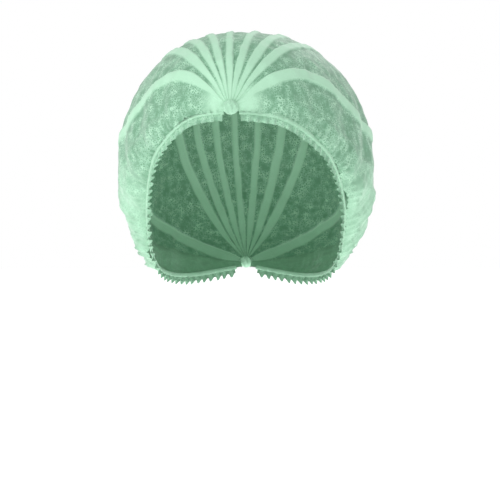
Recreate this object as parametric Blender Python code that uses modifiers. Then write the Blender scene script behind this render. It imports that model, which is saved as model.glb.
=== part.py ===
"""A disposable pleated hair cover cap, held in the shape that it has when it is worn.

Metres, +Z up, the wearer faces -Y. The origin is where the top of a head meets the inside of the crown.
The crown is a strip of cloth gathered at both ends. Stations run along it from 0 at the front gather
to 1 at the back gather, and turns run across it in degrees: 0 along the top, 90 at the widest point of
the side, 180 at the edge beside the elastic. Turns are positive towards +X.
"""

import math
from collections import namedtuple

import bmesh
import bpy
from mathutils import Vector

# Driving sizes
LAYER = 0.0011  # the crown's wall where the cloth lies once
PLEAT_RISE = 0.0014  # how much thicker the wall is where a pleat lies folded on it
ELASTIC_RADIUS = 0.0014
GAP = 0.00035  # between pieces that touch
RUFFLE_WIDTH = 0.0062
RUFFLE_WALL = 0.0010
RUFFLE_PITCH = 0.0063  # from one lobe of the frill to the next
RUFFLE_SWING = 0.0015  # how far a lobe stands in or out at the free edge
RUFFLE_ROOT_SWING = 0.0003
GATHER_WIDTH = 0.0110
GATHER_DEPTH = 0.0060
GATHER_HEIGHT = 0.0105
FRONT_GATHER_SHIFT = -0.0105  # the front gather sits off the middle
SHIFT_REACH = 0.45  # the station where that shift has faded out
SHIFT_FADE = 1.4
ROUNDNESS = 2.3  # exponent of the sections' upper arches: 2 is an ellipse, more is squarer

# A head of ordinary size, which gives the rim its outward direction
HEAD_CENTRE = Vector((0.0, 0.003, -0.105))
HEAD_HALF_SIZES = Vector((0.072, 0.093, 0.118))

# Where the crown's cloth starts and ends, and how many rows and columns its wall has
CROWN_FIRST, CROWN_LAST, CROWN_ROWS = 0.020, 0.9875, 27
CURL_COLUMNS = 7
CURL_SPAN = 88.0  # the turns from the edge beside the elastic to the last of these columns
ELASTIC_FIRST, ELASTIC_LAST, ELASTIC_POINTS = 0.024, 0.976, 34
RIM_STEPS = 400  # for measuring along the rim

# The crown's inner surface on the +X side. The other side mirrors it.
Section = namedtuple("Section", "station rim_x rim_y rim_z side_x side_y side_z top_y top_z")
SECTIONS = (
    Section(0.00, 0.0000, -0.0905, -0.0635, 0.0010, -0.0915, -0.0605, -0.0925, -0.0600),
    Section(0.03, 0.0080, -0.0900, -0.0640, 0.0095, -0.0910, -0.0595, -0.0910, -0.0525),
    Section(0.06, 0.0160, -0.0885, -0.0645, 0.0185, -0.0890, -0.0570, -0.0870, -0.0420),
    Section(0.12, 0.0320, -0.0830, -0.0675, 0.0360, -0.0825, -0.0565, -0.0755, -0.0255),
    Section(0.20, 0.0480, -0.0730, -0.0775, 0.0555, -0.0680, -0.0640, -0.0520, -0.0095),
    Section(0.30, 0.0630, -0.0540, -0.0945, 0.0765, -0.0420, -0.0780, -0.0170, -0.0010),
    Section(0.42, 0.0710, -0.0300, -0.1225, 0.0935, -0.0080, -0.0990, 0.0230, -0.0010),
    Section(0.55, 0.0710, -0.0120, -0.1515, 0.0940, 0.0240, -0.1160, 0.0660, -0.0125),
    Section(0.67, 0.0660, 0.0040, -0.1705, 0.0845, 0.0500, -0.1400, 0.0970, -0.0410),
    Section(0.78, 0.0570, 0.0280, -0.1775, 0.0725, 0.0740, -0.1530, 0.1130, -0.0760),
    Section(0.87, 0.0420, 0.0500, -0.1785, 0.0535, 0.0900, -0.1600, 0.1160, -0.1080),
    Section(0.94, 0.0220, 0.0650, -0.1755, 0.0290, 0.0900, -0.1650, 0.1040, -0.1400),
    Section(0.97, 0.0115, 0.0690, -0.1735, 0.0150, 0.0830, -0.1670, 0.0920, -0.1540),
    Section(1.00, 0.0000, 0.0710, -0.1715, 0.0010, 0.0770, -0.1680, 0.0780, -0.1660),
)

# The pleats that fan out of the front gather, from the wearer's right to the left. A pleat's turn
# drifts from front_turn to side_turn on its way back, and fold_side says which of its edges is the fold.
Pleat = namedtuple("Pleat", "front_turn side_turn width fold_side")
PLEATS = (
    Pleat(-60.0, -80.0, 0.0100, 1),
    Pleat(-40.0, -38.0, 0.0085, 1),
    Pleat(-26.5, -26.0, 0.0068, 1),
    Pleat(-16.0, -15.0, 0.0060, 1),
    Pleat(-5.5, -5.0, 0.0056, 1),
    Pleat(5.0, 5.0, 0.0060, -1),
    Pleat(18.0, 18.0, 0.0080, -1),
    Pleat(32.0, 33.0, 0.0080, -1),
    Pleat(58.0, 78.0, 0.0100, -1),
)
DRIFT_FIRST, DRIFT_LAST = 0.10, 0.38  # the stations between which the pleats drift
PLEAT_SPREAD = 0.42  # the most of the room to its neighbour that half a pleat takes

# The large folds on the flanks, each a valley across the side at one station
Fold = namedtuple("Fold", "station left_depth right_depth half_width")
FOLDS = (
    Fold(0.200, 0.0016, 0.0018, 0.022),
    Fold(0.290, 0.0026, 0.0020, 0.024),
    Fold(0.375, 0.0020, 0.0028, 0.022),
    Fold(0.470, 0.0030, 0.0022, 0.026),
    Fold(0.565, 0.0024, 0.0032, 0.024),
    Fold(0.660, 0.0030, 0.0024, 0.024),
    Fold(0.750, 0.0022, 0.0028, 0.022),
    Fold(0.840, 0.0024, 0.0020, 0.020),
)
FOLD_FROM, FOLD_FULL = 45.0, 92.0  # the turns between which a fold deepens

MINT = (0.46, 0.72, 0.55, 1.0)
PALE_MINT = (0.58, 0.81, 0.66, 1.0)


def smooth_step(value, low, high):
    share = min(1.0, max(0.0, (value - low) / (high - low)))
    return share * share * (3.0 - 2.0 * share)


def section_at(station):
    """The section at any station, on a smooth curve through the table's rows."""
    last = len(SECTIONS) - 2
    index = max(i for i in range(last + 1) if SECTIONS[i].station <= station or i == 0)
    before, after = SECTIONS[index], SECTIONS[index + 1]
    width = after.station - before.station
    share = (station - before.station) / width

    def slope(row, field):
        low, high = SECTIONS[max(row - 1, 0)], SECTIONS[min(row + 1, last + 1)]
        return (getattr(high, field) - getattr(low, field)) / (high.station - low.station)

    def value(field):
        start, end = getattr(before, field), getattr(after, field)
        cubed, squared = share**3, share**2
        return (
            (2 * cubed - 3 * squared + 1) * start
            + (cubed - 2 * squared + share) * width * slope(index, field)
            + (3 * squared - 2 * cubed) * end
            + (cubed - squared) * width * slope(index + 1, field)
        )

    return Section(station, *(value(field) for field in Section._fields[1:]))


def shift_at(station):
    """How far the cloth is pulled sideways by the front gather."""
    return FRONT_GATHER_SHIFT * max(0.0, 1.0 - station / SHIFT_REACH) ** SHIFT_FADE


def rim_at(station, side):
    row = section_at(station)
    return Vector((side * row.rim_x + shift_at(station), row.rim_y, row.rim_z))


def head_normal(point):
    away = point - HEAD_CENTRE
    return Vector(away[i] / HEAD_HALF_SIZES[i] ** 2 for i in range(3)).normalized()


def rim_frame(station, side):
    """The rim's point, its direction, the head's outward normal and the way that the frill points."""
    step = 0.004
    point = rim_at(station, side)
    ahead, behind = rim_at(min(1.0, station + step), side), rim_at(max(0.0, station - step), side)
    along = (ahead - behind).normalized()
    outward = head_normal(point)
    frill_way = (along.cross(outward) * side).normalized()
    outward = frill_way.cross(along) * side
    return point, along, outward.normalized(), frill_way


def fold_depth(station, turn):
    """How deep the flank's large folds are here."""
    share = smooth_step(abs(turn), FOLD_FROM, FOLD_FULL)
    total = 0.0
    for fold in FOLDS:
        depth = fold.left_depth if turn < 0 else fold.right_depth
        total += depth * math.exp(-(((station - fold.station) / fold.half_width) ** 2))
    return total * share


def crown_point(station, turn):
    """A point of the crown's inner surface."""
    row = section_at(station)
    side = -1.0 if turn < 0 else 1.0
    widest = Vector((row.side_x, row.side_y, row.side_z))
    angle = math.radians(abs(turn))
    if abs(turn) <= 90.0:
        power = 2.0 / ROUNDNESS
        rise = max(0.0, math.cos(angle)) ** power
        reach = max(0.0, math.sin(angle)) ** power
        point = Vector(
            (
                row.side_x * reach,
                row.side_y + (row.top_y - row.side_y) * rise,
                row.side_z + (row.top_z - row.side_z) * rise,
            )
        )
    else:
        rim = Vector((row.rim_x, row.rim_y, row.rim_z))
        away = (widest - rim).normalized() + 0.6 * head_normal(rim)
        edge = rim + away.normalized() * (ELASTIC_RADIUS + GAP + 1.35 * LAYER)
        curl = angle - math.pi / 2
        point = Vector(
            (
                edge.x + (widest.x - edge.x) * math.cos(curl),
                widest.y + (edge.y - widest.y) * math.sin(curl),
                widest.z + (edge.z - widest.z) * math.sin(curl),
            )
        )
    point.x = point.x * side + shift_at(station)
    inward = (HEAD_CENTRE - point).normalized()
    return point + inward * fold_depth(station, turn)


def pleat_turns(station):
    """Each pleat's two edges at this station, as turns, from the lowest turn to the highest."""
    drift = smooth_step(station, DRIFT_FIRST, DRIFT_LAST)
    centres = [p.front_turn + (p.side_turn - p.front_turn) * drift for p in PLEATS]
    edges = []
    for i, (pleat, centre) in enumerate(zip(PLEATS, centres)):
        room_low = centre - centres[i - 1] if i else 40.0
        room_high = centres[i + 1] - centre if i + 1 < len(PLEATS) else 40.0
        across = (crown_point(station, centre + 2) - crown_point(station, centre - 2)).length / 4
        half = min(pleat.width / 2 / across, PLEAT_SPREAD * min(room_low, room_high))
        edges.append((centre - half, centre + half))
    return edges


def columns_at(station):
    """The crown's columns at this station, each as its turn and the share of a pleat that lies there."""
    foot = 0.10  # the share of a pleat's width over which its fold drops
    curl = [180.0 - CURL_SPAN * i / CURL_COLUMNS for i in range(CURL_COLUMNS)]
    edges = pleat_turns(station)
    columns = [(-turn, 0.0) for turn in curl]
    for (low, high), pleat in zip(edges, PLEATS):
        span = high - low
        if pleat.fold_side > 0:
            columns += [(low, 0.0), (low + 0.35 * span, 0.75), (high, 1.0), (high + foot * span, 0.0)]
        else:
            columns += [(low - foot * span, 0.0), (low, 1.0), (high - 0.35 * span, 0.75), (high, 0.0)]
    columns += [(turn, 0.0) for turn in reversed(curl)]
    return columns


def new_object(name, mesh, collection, material):
    made = bpy.data.objects.new(name, mesh)
    made.data.materials.append(material)
    collection.objects.link(made)
    return made


def cloth(name, colour, roughness):
    material = bpy.data.materials.new(name)
    material.use_nodes = True
    shader = material.node_tree.nodes["Principled BSDF"]
    shader.inputs["Base Color"].default_value = colour
    shader.inputs["Roughness"].default_value = roughness
    shader.inputs["Metallic"].default_value = 0.0
    return material


def lofted_mesh(name, rows):
    """A mesh lofted through rows that hold the same number of points."""
    form = bmesh.new()
    lines = [[form.verts.new(point) for point in row] for row in rows]
    for first, second in zip(lines, lines[1:]):
        for i in range(len(first) - 1):
            form.faces.new((first[i], first[i + 1], second[i + 1], second[i]))
    mesh = bpy.data.meshes.new(name)
    form.to_mesh(mesh)
    form.free()
    return mesh


def add_crown(collection, material):
    """The crown: a smooth inner surface, thickened outwards by one layer of cloth and more at the pleats."""
    span = CROWN_LAST - CROWN_FIRST
    stations = [CROWN_FIRST + span * i / (CROWN_ROWS - 1) for i in range(CROWN_ROWS)]
    table = [columns_at(station) for station in stations]
    rows = [[crown_point(s, turn) for turn, _ in columns] for s, columns in zip(stations, table)]
    crown = new_object("crown", lofted_mesh("crown", rows), collection, material)
    layers = crown.vertex_groups.new(name="layers")
    full = LAYER + PLEAT_RISE
    index = 0
    for station, columns in zip(stations, table):
        fade = smooth_step(station, CROWN_FIRST, 0.14) * (1.0 - smooth_step(station, 0.86, CROWN_LAST))
        for _, share in columns:
            thickness = LAYER + PLEAT_RISE * share * (0.25 + 0.75 * fade)
            layers.add([index], thickness / full, "REPLACE")
            index += 1
    wall = crown.modifiers.new("wall", "SOLIDIFY")
    wall.thickness = full
    wall.offset = 1.0
    wall.vertex_group = layers.name
    wall.thickness_vertex_group = 0.0
    return crown


def add_elastic(name, side, collection, material):
    """The elastic in its welded casing, from the front gather round one side to the back gather."""
    curve = bpy.data.curves.new(name, "CURVE")
    curve.dimensions = "3D"
    curve.bevel_depth = ELASTIC_RADIUS
    curve.bevel_resolution = 2
    curve.use_fill_caps = True
    line = curve.splines.new("POLY")
    line.points.add(ELASTIC_POINTS - 1)
    span = ELASTIC_LAST - ELASTIC_FIRST
    for i, place in enumerate(line.points):
        station = ELASTIC_FIRST + span * i / (ELASTIC_POINTS - 1)
        place.co = (*rim_at(station, side), 1.0)
    return new_object(name, curve, collection, material)


def stations_along_rim(side, first, last, count):
    """Stations that lie the same length of rim apart."""
    steps = [first + (last - first) * i / RIM_STEPS for i in range(RIM_STEPS + 1)]
    points = [rim_at(station, side) for station in steps]
    lengths = [0.0]
    for before, after in zip(points, points[1:]):
        lengths.append(lengths[-1] + (after - before).length)
    found, index = [], 0
    for i in range(count):
        wanted = lengths[-1] * i / (count - 1)
        while index < RIM_STEPS - 1 and lengths[index + 1] < wanted:
            index += 1
        share = (wanted - lengths[index]) / (lengths[index + 1] - lengths[index])
        found.append(steps[index] + share * (steps[index + 1] - steps[index]))
    return found, lengths[-1]


def add_ruffle(name, side, collection, material):
    """The frill: the cloth's free edge past the elastic, thrown into lobes."""
    _, length = stations_along_rim(side, ELASTIC_FIRST, ELASTIC_LAST, 2)
    lobes = round(length / RUFFLE_PITCH)
    stations, _ = stations_along_rim(side, ELASTIC_FIRST, ELASTIC_LAST, lobes * 4 + 1)
    root, edge = [], []
    for i, station in enumerate(stations):
        point, _, outward, frill_way = rim_frame(station, side)
        wave = math.sin(math.pi / 2 * i)
        start = point + frill_way * (ELASTIC_RADIUS + GAP)
        root.append(start + outward * RUFFLE_ROOT_SWING * wave)
        edge.append(start + frill_way * RUFFLE_WIDTH + outward * RUFFLE_SWING * wave)
    rows = (root, edge) if side > 0 else (edge, root)
    ruffle = new_object(name, lofted_mesh(name, rows), collection, material)
    wall = ruffle.modifiers.new("wall", "SOLIDIFY")
    wall.thickness = RUFFLE_WALL
    wall.offset = 0.0
    return ruffle


def add_gather(name, place, lean, collection, material):
    """The welded end of the strip: a tuft with ridges where the pleats are pinched together."""
    form = bmesh.new()
    bmesh.ops.create_uvsphere(form, u_segments=16, v_segments=6, radius=1.0)
    for vertex in form.verts:
        around = math.atan2(vertex.co.y, vertex.co.x)
        ridge = 1.0 + 0.10 * math.cos(4.0 * around)
        vertex.co.x *= ridge * GATHER_WIDTH / 2
        vertex.co.y *= ridge * GATHER_DEPTH / 2
        vertex.co.z *= GATHER_HEIGHT / 2
    mesh = bpy.data.meshes.new(name)
    form.to_mesh(mesh)
    form.free()
    gather = new_object(name, mesh, collection, material)
    gather.location = place
    gather.rotation_euler = (lean, 0.0, 0.0)
    return gather


def main():
    for old in list(bpy.data.objects):
        bpy.data.objects.remove(old, do_unlink=True)
    cap = bpy.data.collections.new("hair_cover_cap")
    bpy.context.scene.collection.children.link(cap)
    crown_cloth = cloth("crown_cloth", MINT, 0.75)
    edge_cloth = cloth("edge_cloth", PALE_MINT, 0.70)
    add_crown(cap, crown_cloth)
    for side, word in ((-1, "left"), (1, "right")):
        add_elastic("elastic_" + word, side, cap, edge_cloth)
        add_ruffle("ruffle_" + word, side, cap, edge_cloth)
    front = Vector((FRONT_GATHER_SHIFT, -0.0945, -0.0610))
    back = Vector((0.0, 0.0790, -0.1684))
    add_gather("front_gather", front, math.radians(-8.0), cap, crown_cloth)
    add_gather("back_gather", back, math.radians(-30.0), cap, crown_cloth)


main()
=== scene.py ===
import math
import random

import bpy
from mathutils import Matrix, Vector, noise


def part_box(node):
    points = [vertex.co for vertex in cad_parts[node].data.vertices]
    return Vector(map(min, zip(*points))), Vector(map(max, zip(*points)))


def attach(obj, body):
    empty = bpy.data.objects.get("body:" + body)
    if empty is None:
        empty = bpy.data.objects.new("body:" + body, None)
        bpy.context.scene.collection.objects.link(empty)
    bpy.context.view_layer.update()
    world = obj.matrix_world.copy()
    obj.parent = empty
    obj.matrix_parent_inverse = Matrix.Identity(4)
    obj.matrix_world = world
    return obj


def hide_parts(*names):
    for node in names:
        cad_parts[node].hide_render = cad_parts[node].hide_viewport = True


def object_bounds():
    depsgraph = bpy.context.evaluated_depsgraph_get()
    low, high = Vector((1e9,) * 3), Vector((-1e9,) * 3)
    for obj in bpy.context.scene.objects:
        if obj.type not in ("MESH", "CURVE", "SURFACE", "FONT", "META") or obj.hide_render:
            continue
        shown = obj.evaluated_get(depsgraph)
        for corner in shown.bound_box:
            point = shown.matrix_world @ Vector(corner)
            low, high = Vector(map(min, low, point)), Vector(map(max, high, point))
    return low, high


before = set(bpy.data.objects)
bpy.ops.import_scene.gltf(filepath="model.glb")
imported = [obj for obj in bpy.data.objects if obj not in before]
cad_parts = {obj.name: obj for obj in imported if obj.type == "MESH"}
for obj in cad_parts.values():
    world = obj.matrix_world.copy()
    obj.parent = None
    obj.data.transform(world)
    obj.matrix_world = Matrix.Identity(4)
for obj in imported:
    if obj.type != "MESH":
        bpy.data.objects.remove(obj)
sizeAtLoad = [list(corner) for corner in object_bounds()]
print("frame loaded")

# The form of the worn cap: stations run from 0 at the front gather to 1 at the back gather, and turns in
# degrees from 0 along the top to 180 at the rim, positive towards +X. Lengths are in metres.
form = {
    "frontShift": -0.0105,
    "shiftReach": 0.45,
    "shiftFade": 1.4,
    "roundness": 2.3,
    "headCentre": Vector((0.0, 0.003, -0.105)),
    "headHalfSizes": Vector((0.072, 0.093, 0.118)),
    "rimStep": 0.004,  # how far apart, in stations, the rim's direction is measured
}
sectionFields = ("station", "rimX", "rimY", "rimZ", "sideX", "sideY", "sideZ", "topY", "topZ")
sectionRows = (
    (0.00, 0.0000, -0.0905, -0.0635, 0.0010, -0.0915, -0.0605, -0.0925, -0.0600),
    (0.03, 0.0080, -0.0900, -0.0640, 0.0095, -0.0910, -0.0595, -0.0910, -0.0525),
    (0.06, 0.0160, -0.0885, -0.0645, 0.0185, -0.0890, -0.0570, -0.0870, -0.0420),
    (0.12, 0.0320, -0.0830, -0.0675, 0.0360, -0.0825, -0.0565, -0.0755, -0.0255),
    (0.20, 0.0480, -0.0730, -0.0775, 0.0555, -0.0680, -0.0640, -0.0520, -0.0095),
    (0.30, 0.0630, -0.0540, -0.0945, 0.0765, -0.0420, -0.0780, -0.0170, -0.0010),
    (0.42, 0.0710, -0.0300, -0.1225, 0.0935, -0.0080, -0.0990, 0.0230, -0.0010),
    (0.55, 0.0710, -0.0120, -0.1515, 0.0940, 0.0240, -0.1160, 0.0660, -0.0125),
    (0.67, 0.0660, 0.0040, -0.1705, 0.0845, 0.0500, -0.1400, 0.0970, -0.0410),
    (0.78, 0.0570, 0.0280, -0.1775, 0.0725, 0.0740, -0.1530, 0.1130, -0.0760),
    (0.87, 0.0420, 0.0500, -0.1785, 0.0535, 0.0900, -0.1600, 0.1160, -0.1080),
    (0.94, 0.0220, 0.0650, -0.1755, 0.0290, 0.0900, -0.1650, 0.1040, -0.1400),
    (0.97, 0.0115, 0.0690, -0.1735, 0.0150, 0.0830, -0.1670, 0.0920, -0.1540),
    (1.00, 0.0000, 0.0710, -0.1715, 0.0010, 0.0770, -0.1680, 0.0780, -0.1660),
)
sections = [dict(zip(sectionFields, row)) for row in sectionRows]


def smoothStep(value, low, high):  # 0 below low, 1 above high, smooth between
    share = min(1.0, max(0.0, (value - low) / (high - low)))
    return share * share * (3.0 - 2.0 * share)


def sectionAt(station):  # the section at any station, on a smooth curve through the rows
    last = len(sections) - 2
    index = max(i for i in range(last + 1) if sections[i]["station"] <= station or i == 0)
    before, after = sections[index], sections[index + 1]
    width = after["station"] - before["station"]
    share = (station - before["station"]) / width

    def slope(row, field):
        low, high = sections[max(row - 1, 0)], sections[min(row + 1, last + 1)]
        return (high[field] - low[field]) / (high["station"] - low["station"])

    found = {}
    for field in sectionFields[1:]:
        cubed, squared = share**3, share**2
        found[field] = (
            (2 * cubed - 3 * squared + 1) * before[field]
            + (cubed - 2 * squared + share) * width * slope(index, field)
            + (3 * squared - 2 * cubed) * after[field]
            + (cubed - squared) * width * slope(index + 1, field)
        )
    return found


def shiftAt(station):  # how far the front gather pulls the cloth sideways
    return form["frontShift"] * max(0.0, 1.0 - station / form["shiftReach"]) ** form["shiftFade"]


def headNormal(point):  # the outward way, from a head of ordinary size
    away = point - form["headCentre"]
    return Vector([away[i] / form["headHalfSizes"][i] ** 2 for i in range(3)]).normalized()


def rimAt(station, side):
    row = sectionAt(station)
    return Vector((side * row["rimX"] + shiftAt(station), row["rimY"], row["rimZ"]))


def rimFrame(station, side):  # the rim's point, direction, outward normal and the way that the frill points
    point = rimAt(station, side)
    ahead = rimAt(min(1.0, station + form["rimStep"]), side)
    behind = rimAt(max(0.0, station - form["rimStep"]), side)
    along = (ahead - behind).normalized()
    outward = headNormal(point)
    frillWay = (along.cross(outward) * side).normalized()
    outward = (frillWay.cross(along) * side).normalized()
    return point, along, outward, frillWay


def smoothPoint(row, shift, turn):  # a point of the crown before its folds, from one section
    side = -1.0 if turn < 0 else 1.0
    angle = math.radians(min(180.0, abs(turn)))
    if abs(turn) <= 90.0:
        power = 2.0 / form["roundness"]
        rise = max(0.0, math.cos(angle)) ** power
        reach = max(0.0, math.sin(angle)) ** power
        point = Vector((
            row["sideX"] * reach,
            row["sideY"] + (row["topY"] - row["sideY"]) * rise,
            row["sideZ"] + (row["topZ"] - row["sideZ"]) * rise,
        ))
    else:
        curl = angle - math.pi / 2
        point = Vector((
            row["rimX"] + (row["sideX"] - row["rimX"]) * math.cos(curl),
            row["sideY"] + (row["rimY"] - row["sideY"]) * math.sin(curl),
            row["sideZ"] + (row["rimZ"] - row["sideZ"]) * math.sin(curl),
        ))
    point.x = point.x * side + shift
    return point


# Makes a mesh object. shares say how densely the cloth lies at each point, with painted light on the crown's
# flanks in them.
def smoothMesh(name, points, faces, material, shares=None):
    mesh = bpy.data.meshes.new(name)
    mesh.from_pydata(points, [], faces)
    mesh.polygons.foreach_set("use_smooth", [True] * len(mesh.polygons))
    if shares:
        layer = mesh.attributes.new("layers", "FLOAT", "POINT")
        layer.data.foreach_set("value", shares)
    made = bpy.data.objects.new(name, mesh)
    bpy.context.scene.collection.objects.link(made)
    mesh.materials.append(material)
    return made


def gridFaces(rows, columns):  # quads between the points of an open grid
    return [
        (i * columns + j, i * columns + j + 1, (i + 1) * columns + j + 1, (i + 1) * columns + j)
        for i in range(rows - 1)
        for j in range(columns - 1)
    ]


def tubeFaces(rings, around):  # quads between rings of points that close on themselves
    faces = []
    for i in range(rings - 1):
        for j in range(around):
            k = (j + 1) % around
            faces.append((i * around + j, i * around + k, (i + 1) * around + k, (i + 1) * around + j))
    return faces


# Cloth: a random web of pale fibres over a darker ground, paler and denser where it lies in layers. The dark
# ground of a single layer is painted shade from inside the cap, showing through it.
clothLook = {
    # thin is painted dark for the shade inside the cap that shows through a single layer
    "thin": (0.100, 0.260, 0.152, 1.0),
    "thick": (0.375, 0.640, 0.455, 1.0),
    "fibre": (0.400, 0.670, 0.485, 1.0),
    "roughness": 0.62,
    "specular": 0.35,
    "sheen": 0.25,
    "webScale": 620.0,
    "mottleScale": 170.0,
    "fibreEdges": (0.02, 0.22),  # where in a cell of the web a fibre is full and where it has gone
    "mottleEdges": (0.36, 0.66),
    "mottleDetail": 4.0,
    "bumpStrength": 0.25,
    "bumpDepth": 0.0003,
}


def fibreGroup():  # a node group that gives a web of fibres and a soft mottle, both from 0 to 1
    group = bpy.data.node_groups.new("spunbondWeb", "ShaderNodeTree")
    for name in ("Web Scale", "Mottle Scale"):
        group.interface.new_socket(name, in_out="INPUT", socket_type="NodeSocketFloat")
    for name in ("Web", "Mottle"):
        group.interface.new_socket(name, in_out="OUTPUT", socket_type="NodeSocketFloat")
    nodes, links = group.nodes, group.links
    entry, leave = nodes.new("NodeGroupInput"), nodes.new("NodeGroupOutput")
    place = nodes.new("ShaderNodeTexCoord")
    web = nodes.new("ShaderNodeTexVoronoi")
    web.feature = "DISTANCE_TO_EDGE"
    thin = nodes.new("ShaderNodeMapRange")
    thin.inputs["From Min"].default_value = clothLook["fibreEdges"][0]
    thin.inputs["From Max"].default_value = clothLook["fibreEdges"][1]
    thin.inputs["To Min"].default_value = 1.0
    thin.inputs["To Max"].default_value = 0.0
    mottle = nodes.new("ShaderNodeTexNoise")
    mottle.inputs["Detail"].default_value = clothLook["mottleDetail"]
    contrast = nodes.new("ShaderNodeMapRange")
    contrast.inputs["From Min"].default_value = clothLook["mottleEdges"][0]
    contrast.inputs["From Max"].default_value = clothLook["mottleEdges"][1]
    links.new(place.outputs["Object"], web.inputs["Vector"])
    links.new(place.outputs["Object"], mottle.inputs["Vector"])
    links.new(entry.outputs["Web Scale"], web.inputs["Scale"])
    links.new(entry.outputs["Mottle Scale"], mottle.inputs["Scale"])
    links.new(web.outputs["Distance"], thin.inputs["Value"])
    links.new(mottle.outputs["Fac"], contrast.inputs["Value"])
    links.new(thin.outputs["Result"], leave.inputs["Web"])
    links.new(contrast.outputs["Result"], leave.inputs["Mottle"])
    return group


webGroup = fibreGroup()


def clothMaterial(name, base):  # base is how dense the cloth looks before the mesh's own layers and painted light are added
    material = bpy.data.materials.new(name)
    material.use_nodes = True
    nodes, links = material.node_tree.nodes, material.node_tree.links
    shader = nodes["Principled BSDF"]
    shader.inputs["Roughness"].default_value = clothLook["roughness"]
    shader.inputs["Specular IOR Level"].default_value = clothLook["specular"]
    shader.inputs["Sheen Weight"].default_value = clothLook["sheen"]
    web = nodes.new("ShaderNodeGroup")
    web.node_tree = webGroup
    web.inputs["Web Scale"].default_value = clothLook["webScale"]
    web.inputs["Mottle Scale"].default_value = clothLook["mottleScale"]
    # the mesh's density attribute holds the cloth's layers and painted light showing through the flanks
    layers = nodes.new("ShaderNodeAttribute")
    layers.attribute_name = "layers"
    dense = nodes.new("ShaderNodeMath")
    dense.operation = "ADD"
    dense.use_clamp = True
    dense.inputs[1].default_value = base
    ground = nodes.new("ShaderNodeMix")
    ground.data_type = "RGBA"
    # the ground runs from the single layer's painted shade to the paler colour of cloth in layers
    ground.inputs["A"].default_value = clothLook["thin"]
    ground.inputs["B"].default_value = clothLook["thick"]
    strength = nodes.new("ShaderNodeMath")
    strength.operation = "MULTIPLY"
    fibres = nodes.new("ShaderNodeMix")
    fibres.data_type = "RGBA"
    fibres.inputs["B"].default_value = clothLook["fibre"]
    bump = nodes.new("ShaderNodeBump")
    bump.inputs["Strength"].default_value = clothLook["bumpStrength"]
    bump.inputs["Distance"].default_value = clothLook["bumpDepth"]
    links.new(layers.outputs["Fac"], dense.inputs[0])
    links.new(dense.outputs["Value"], ground.inputs["Factor"])
    links.new(web.outputs["Web"], strength.inputs[0])
    links.new(web.outputs["Mottle"], strength.inputs[1])
    links.new(ground.outputs["Result"], fibres.inputs["A"])
    links.new(strength.outputs["Value"], fibres.inputs["Factor"])
    links.new(fibres.outputs["Result"], shader.inputs["Base Color"])
    links.new(web.outputs["Mottle"], bump.inputs["Height"])
    links.new(bump.outputs["Normal"], shader.inputs["Normal"])
    return material


clothDensity = {"crown": 0.12, "edge": 0.75, "frill": 0.45}
crownCloth = clothMaterial("crownCloth", clothDensity["crown"])
edgeCloth = clothMaterial("edgeCloth", clothDensity["edge"])
frillCloth = clothMaterial("frillCloth", clothDensity["frill"])
print("materials made")

# The crown: its pleats fan out of the front gather, and its flanks are puffed and creased. It is one surface,
# and a pleat is a band of it that stands a little higher and looks denser.
crownLook = {
    "first": 0.012,
    "last": 0.994,
    "rows": 210,
    "columns": 420,
    "lastTurn": 178.0,
    "clear": 0.0005,  # how far the cloth lies outside the section table
    "rise": 0.0017,  # of a pleat's fold
    "pleatSlope": 0.18,  # the share of a pleat over which its hidden side rises
    "pleatDrop": 0.05,  # the share over which its fold drops
    "pleatLow": 0.45,  # a pleat's height at its hidden side, as a share of its height at the fold
    "endRise": 0.3,  # how much of a pleat's height is left at the gathers
    "driftFirst": 0.10,
    "driftLast": 0.38,
    "spread": 0.46,
    "endRoom": 40.0,  # degrees of free cloth beyond the outermost pleats
    "foldTurns": (45.0, 92.0),  # the turns between which the large folds deepen
    "frontFade": (0.01, 0.12),  # the stations over which relief grows from the front gather
    "backFade": (0.90, 0.99),  # and over which it fades to the back one
    "flankTurns": (84.0, 120.0),
    "billow": 0.0027,
    "billowScales": (34.0, 75.0),
    "gatherPitch": 0.0046,
    "gatherDepth": 0.0011,
    "gatherWander": 40.0,
    "rimTurn": 150.0,  # the fine gathers are deeper past this turn
    "rimGather": 2.0,
    "crinkle": 0.0008,
    "crinkleScale": 120.0,
    "denseFront": (0.03, 0.09),  # the pleats lie on each other up to here
    # The share and the turns and stations below paint light on the flanks, paler for light showing through
    # the cloth there; the share also makes the fine gathers' ridges paler.
    "paleRidgesAndPaintedLight": 0.55,
    "paintedLightTurns": (84.0, 106.0),
    "paintedLightStations": (0.30, 0.45),
}
pleatFields = ("frontTurn", "sideTurn", "width", "foldSide")
pleatRows = (
    (-60.0, -80.0, 0.0100, 1),
    (-40.0, -38.0, 0.0085, 1),
    (-26.5, -26.0, 0.0068, 1),
    (-16.0, -15.0, 0.0060, 1),
    (-5.5, -5.0, 0.0056, 1),
    (5.0, 5.0, 0.0060, -1),
    (18.0, 18.0, 0.0080, -1),
    (32.0, 33.0, 0.0080, -1),
    (58.0, 78.0, 0.0100, -1),
)
pleats = [dict(zip(pleatFields, row)) for row in pleatRows]
foldFields = ("station", "leftDepth", "rightDepth", "halfWidth")
foldRows = (
    (0.200, 0.0016, 0.0018, 0.022),
    (0.290, 0.0026, 0.0020, 0.024),
    (0.375, 0.0020, 0.0028, 0.022),
    (0.470, 0.0030, 0.0022, 0.026),
    (0.565, 0.0024, 0.0032, 0.024),
    (0.660, 0.0030, 0.0024, 0.024),
    (0.750, 0.0022, 0.0028, 0.022),
    (0.840, 0.0024, 0.0020, 0.020),
)
folds = [dict(zip(foldFields, row)) for row in foldRows]


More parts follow.
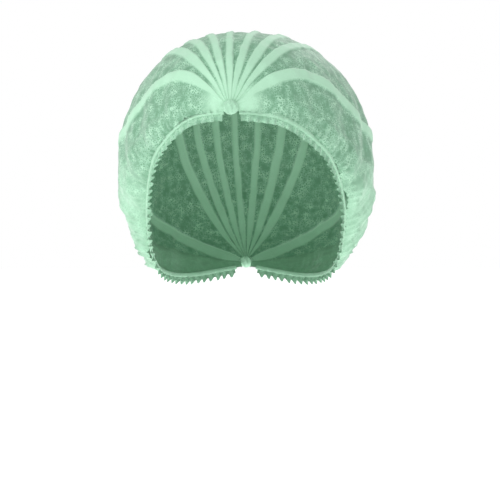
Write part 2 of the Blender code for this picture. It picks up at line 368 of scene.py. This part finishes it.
def pleatBands(row, shift, station):  # each pleat's low turn, high turn and fold side at this station
    drift = smoothStep(station, crownLook["driftFirst"], crownLook["driftLast"])
    centres = [p["frontTurn"] + (p["sideTurn"] - p["frontTurn"]) * drift for p in pleats]
    bands = []
    for i, (pleat, centre) in enumerate(zip(pleats, centres)):
        roomLow = centre - centres[i - 1] if i else crownLook["endRoom"]
        roomHigh = centres[i + 1] - centre if i + 1 < len(pleats) else crownLook["endRoom"]
        gap = smoothPoint(row, shift, centre + 2) - smoothPoint(row, shift, centre - 2)
        half = min(pleat["width"] / 2 / (gap.length / 4), crownLook["spread"] * min(roomLow, roomHigh))
        bands.append((centre - half, centre + half, pleat["foldSide"]))
    return bands


def pleatShare(turn, bands):  # how much of a pleat lies here, and how high it is
    for low, high, foldSide in bands:
        if low <= turn <= high:
            across = (turn - low) / (high - low)
            across = across if foldSide > 0 else 1.0 - across
            rise = min(1.0, across / crownLook["pleatSlope"])
            drop = min(1.0, (1.0 - across) / crownLook["pleatDrop"])
            return rise * drop, crownLook["pleatLow"] + (1.0 - crownLook["pleatLow"]) * across
    return 0.0, 0.0


def foldDepth(station, turn):  # how deep the flank's large folds are here
    total = 0.0
    for fold in folds:
        depth = fold["leftDepth"] if turn < 0 else fold["rightDepth"]
        total += depth * math.exp(-(((station - fold["station"]) / fold["halfWidth"]) ** 2))
    return total * smoothStep(abs(turn), *crownLook["foldTurns"])


rimSteps = 400


def rimLengths(side):  # the length of rim from the front to each of its steps
    points = [rimAt(i / rimSteps, side) for i in range(rimSteps + 1)]
    lengths = [0.0]
    for before, after in zip(points, points[1:]):
        lengths.append(lengths[-1] + (after - before).length)
    return lengths


def lengthTo(station, lengths):
    place = station * rimSteps
    start = lengths[min(rimSteps, int(place))]
    return start + (lengths[min(rimSteps, int(place) + 1)] - start) * (place % 1)


def fineCrease(point, along):  # 1 on the ridge of a fine gather, 0 half way to the next
    wander = noise.noise(point * crownLook["gatherWander"]) * 2
    return 1.0 - abs(math.sin(math.pi * along / crownLook["gatherPitch"] + wander))


def crownRelief(point, station, turn, ends, share, lift, crease):  # how far the cloth stands out here
    flank = smoothStep(abs(turn), *crownLook["flankTurns"])
    coarse, fine = crownLook["billowScales"]
    billow = noise.noise(point * coarse) + 0.5 * noise.noise(point * fine)
    gathered = crownLook["rimGather"] if abs(turn) > crownLook["rimTurn"] else 1.0
    endRise = crownLook["endRise"]
    height = crownLook["clear"] + crownLook["rise"] * share * lift * (endRise + (1.0 - endRise) * ends)
    height -= foldDepth(station, turn)
    height += crownLook["billow"] * billow * flank * ends
    height += crownLook["gatherDepth"] * crease**3 * flank * gathered
    height += crownLook["crinkle"] * noise.noise(point * crownLook["crinkleScale"]) * ends
    return height


def crownDensityAndPaintedLight(station, turn, share, lift, crease):  # how dense the cloth looks, from 0 to 1: layers at the pleats and the front gather, paler towards each pleat's fold and along the fine gathers' ridges, and painted light showing through the flanks
    flank = smoothStep(abs(turn), *crownLook["flankTurns"])
    # side is painted light: the flanks are made paler, for light showing through the cloth
    side = smoothStep(abs(turn), *crownLook["paintedLightTurns"]) * smoothStep(station, *crownLook["paintedLightStations"])
    return max(
        share * (0.6 + 0.4 * lift),
        1.0 - smoothStep(station, *crownLook["denseFront"]),
        crownLook["paleRidgesAndPaintedLight"] * crease**4 * flank,
        crownLook["paleRidgesAndPaintedLight"] * side,
    )


def buildCrown():
    rows, columns, lastTurn = crownLook["rows"], crownLook["columns"], crownLook["lastTurn"]
    lengths = {side: rimLengths(side) for side in (-1, 1)}
    points, shares = [], []
    for i in range(rows):
        station = crownLook["first"] + (crownLook["last"] - crownLook["first"]) * i / (rows - 1)
        row, shift = sectionAt(station), shiftAt(station)
        bands = pleatBands(row, shift, station)
        ends = smoothStep(station, *crownLook["frontFade"])
        ends *= 1.0 - smoothStep(station, *crownLook["backFade"])
        for j in range(columns):
            turn = -lastTurn + 2.0 * lastTurn * j / (columns - 1)
            point = smoothPoint(row, shift, turn)
            share, lift = pleatShare(turn, bands)
            crease = fineCrease(point, lengthTo(station, lengths[-1 if turn < 0 else 1]))
            height = crownRelief(point, station, turn, ends, share, lift, crease)
            points.append(point + headNormal(point) * height)
            shares.append(crownDensityAndPaintedLight(station, turn, share, lift, crease))
    return smoothMesh("crownVisual", points, gridFaces(rows, columns), crownCloth, shares)


crown = buildCrown()
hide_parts("crown")
print("crown made")

# The elastic's casing, with a ridge along each of its two welds
elasticLook = {
    "first": 0.020,
    "last": 0.980,
    "steps": 260,
    "around": 14,
    "halfWidth": 0.0019,
    "halfDepth": 0.0012,
    "groove": 0.28,  # how much thinner the casing is between its welds
    "grooveWidth": 0.30,
    "puckers": ((0.10, 1.7), (0.06, 0.61)),  # share of the depth, and turn of the wave at each step
}


def buildElastic(name, side):
    points = []
    steps, around = elasticLook["steps"], elasticLook["around"]
    for i in range(steps):
        station = elasticLook["first"] + (elasticLook["last"] - elasticLook["first"]) * i / (steps - 1)
        point, _, outward, frillWay = rimFrame(station, side)
        pucker = 1.0 + sum(share * math.sin(i * turn) for share, turn in elasticLook["puckers"])
        for j in range(around):
            angle = math.tau * j / around
            fall = math.exp(-((math.cos(angle) / elasticLook["grooveWidth"]) ** 2))
            depth = elasticLook["halfDepth"] * (1.0 - elasticLook["groove"] * fall) * pucker
            across = frillWay * math.cos(angle) * elasticLook["halfWidth"]
            points.append(point + across + outward * math.sin(angle) * depth)
    return smoothMesh(name, points, tubeFaces(steps, around), edgeCloth)


# The frill: the cloth's free edge past the elastic, thrown into lobes
frillLook = {
    "first": 0.024,
    "last": 0.976,
    "steps": 900,
    "across": 9,
    "start": 0.0012,  # from the elastic's centre
    "width": 0.0062,
    "widthChange": 0.1,
    "swing": 0.0017,
    "rootSwing": 0.15,  # the share of the swing that is there already at the elastic
    "swingPower": 1.3,
    "crest": 1.25,  # 1 gives a plain wave, and more a flatter crest
    "scallop": 0.14,
    "pitch": 0.0063,
    "size": (0.82, 0.3),  # the smallest lobe, and how much larger one may be
    "lean": 0.5,
    "leanReach": 0.0012,
    "seed": 4,
}


def buildFrill(name, side):
    look = frillLook
    lengths = rimLengths(side)
    dice = random.Random(look["seed"] + side)
    lobes = int(lengths[-1] / look["pitch"]) + 2
    reach = [look["size"][0] + look["size"][1] * dice.random() for _ in range(lobes)]
    lean = [dice.uniform(-look["lean"], look["lean"]) for _ in range(lobes)]
    points = []
    for i in range(look["steps"]):
        station = look["first"] + (look["last"] - look["first"]) * i / (look["steps"] - 1)
        point, along, outward, frillWay = rimFrame(station, side)
        travelled = lengthTo(station, lengths)
        lobe = int(travelled / look["pitch"])
        inLobe = travelled / look["pitch"] % 1
        blend = smoothStep(inLobe, 0.0, 1.0)
        size = reach[lobe] * (1 - blend) + reach[(lobe + 1) % lobes] * blend
        tilt = lean[lobe] * (1 - blend) + lean[(lobe + 1) % lobes] * blend
        wave = math.cos(math.tau * inLobe)
        rounded = wave * (look["crest"] - (look["crest"] - 1.0) * wave * wave)
        for j in range(look["across"]):
            share = j / (look["across"] - 1)
            swingShare = look["rootSwing"] + (1.0 - look["rootSwing"]) * share ** look["swingPower"]
            scallop = 1.0 - look["scallop"] * (1.0 - rounded) * share
            widened = 1.0 - look["widthChange"] + look["widthChange"] * size
            reached = frillWay * (look["start"] + look["width"] * share * scallop * widened)
            swing = outward * swingShare * look["swing"] * rounded * size
            points.append(point + reached + swing + along * look["leanReach"] * tilt * share)
    return smoothMesh(name, points, gridFaces(look["steps"], look["across"]), frillCloth)


# The gathered ends: tufts with ridges where the pleats are pinched together
gatherLook = {
    "around": 64,
    "rings": 28,
    "fill": 0.95,  # of the CAD piece's box
    "ridge": 0.20,
    "ridges": 4.0,
    "ridgeTwist": 0.8,
    "ripple": 0.04,
    "waist": 0.05,
    "grain": 0.00004,
    "seed": 11,
}


def buildGather(name, node):
    look = gatherLook
    low, high = (Vector(corner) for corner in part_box(node))
    middle, half = (low + high) / 2, (high - low) / 2 * look["fill"]
    dice = random.Random(look["seed"])
    points = []
    for i in range(look["rings"] + 1):
        polar = math.pi * i / look["rings"]
        for j in range(look["around"]):
            angle = math.tau * j / look["around"]
            twist = look["ridgeTwist"] * math.sin(2 * polar)
            ridge = 1.0 - look["ridge"] * abs(math.sin(look["ridges"] * angle + twist))
            ridge += look["ripple"] * math.sin(11 * angle + 3 * polar)
            place = Vector((
                half.x * ridge * math.sin(polar) * math.cos(angle),
                half.y * ridge * math.sin(polar) * math.sin(angle),
                half.z * math.cos(polar) * (1.0 + look["waist"] * math.sin(5 * angle)),
            ))
            grain = Vector((dice.uniform(-1, 1), 0, dice.uniform(-1, 1))) * look["grain"]
            points.append(middle + place + grain)
    return smoothMesh(name, points, tubeFaces(look["rings"] + 1, look["around"]), edgeCloth)


for side, word in ((-1, "left"), (1, "right")):
    casing = buildElastic("elasticVisual_" + word, side)
    frill = buildFrill("ruffleVisual_" + word, side)
    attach(casing, "root")
    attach(frill, "root")
    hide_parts("elastic_" + word)
    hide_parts("ruffle_" + word)
for word in ("front", "back"):
    tuft = buildGather("gatherVisual_" + word, word + "_gather")
    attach(tuft, "root")
    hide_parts(word + "_gather")
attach(crown, "root")
print("edges made")

# Stage, light and camera
stageLook = {
    "floorDrop": 0.30,  # below the cap, because a head holds it up
    "floorSize": 60.0,
    "white": (0.95, 0.95, 0.95, 1.0),
    "roughness": 0.9,
    "glow": 0.9,
    "ambient": 0.5,
}
cameraLook = {"sensor": 36.0, "lens": 136.2, "place": (0.003, -1.4, -0.1595), "tilt": 90.0}
lightTarget = Vector((0.0, 0.0, -0.09))


def buildStage():
    floorMesh = bpy.data.meshes.new("floor")
    half = stageLook["floorSize"] / 2
    level = sizeAtLoad[0][2] - stageLook["floorDrop"]
    corners = [(-half, -half, level), (half, -half, level), (half, half, level), (-half, half, level)]
    floorMesh.from_pydata(corners, [], [(0, 1, 2, 3)])
    floor = bpy.data.objects.new("floor", floorMesh)
    bpy.context.scene.collection.objects.link(floor)
    paper = bpy.data.materials.new("paper")
    paper.use_nodes = True
    shader = paper.node_tree.nodes["Principled BSDF"]
    shader.inputs["Base Color"].default_value = stageLook["white"]
    shader.inputs["Roughness"].default_value = stageLook["roughness"]
    shader.inputs["Emission Color"].default_value = stageLook["white"]
    shader.inputs["Emission Strength"].default_value = stageLook["glow"]
    floorMesh.materials.append(paper)
    world = bpy.data.worlds.new("studio")
    world.use_nodes = True
    background = world.node_tree.nodes["Background"]
    background.inputs["Color"].default_value = (1, 1, 1, 1)
    rays = world.node_tree.nodes.new("ShaderNodeLightPath")
    seen = world.node_tree.nodes.new("ShaderNodeMapRange")
    seen.inputs["To Min"].default_value = stageLook["ambient"]  # what lights the cap
    seen.inputs["To Max"].default_value = 1.0  # what the camera sees
    world.node_tree.links.new(rays.outputs["Is Camera Ray"], seen.inputs["Value"])
    world.node_tree.links.new(seen.outputs["Result"], background.inputs["Strength"])
    bpy.context.scene.world = world
    bpy.context.scene.view_settings.view_transform = "Standard"


lightFields = ("name", "place", "size", "power")
lightRows = (
    ("keyLight", (-1.1, -1.0, 1.3), 0.5, 22.0),
    ("fillLight", (1.4, -1.2, 0.5), 1.0, 4.0),
    ("backLight", (0.5, 1.4, 1.2), 0.9, 8.0),
)


def buildLights():
    for row in lightRows:
        spec = dict(zip(lightFields, row))
        data = bpy.data.lights.new(spec["name"], "AREA")
        data.size = spec["size"]
        data.energy = spec["power"]
        light = bpy.data.objects.new(spec["name"], data)
        light.location = spec["place"]
        light.rotation_euler = (lightTarget - light.location).to_track_quat("-Z", "Y").to_euler()
        bpy.context.scene.collection.objects.link(light)


def buildCamera():
    data = bpy.data.cameras.new("camera")
    data.sensor_width = cameraLook["sensor"]
    data.lens = cameraLook["lens"]
    camera = bpy.data.objects.new("camera", data)
    camera.location = cameraLook["place"]
    camera.rotation_euler = (math.radians(cameraLook["tilt"]), 0, 0)
    bpy.context.scene.collection.objects.link(camera)
    bpy.context.scene.camera = camera


buildStage()
buildLights()
buildCamera()
print("stage made")
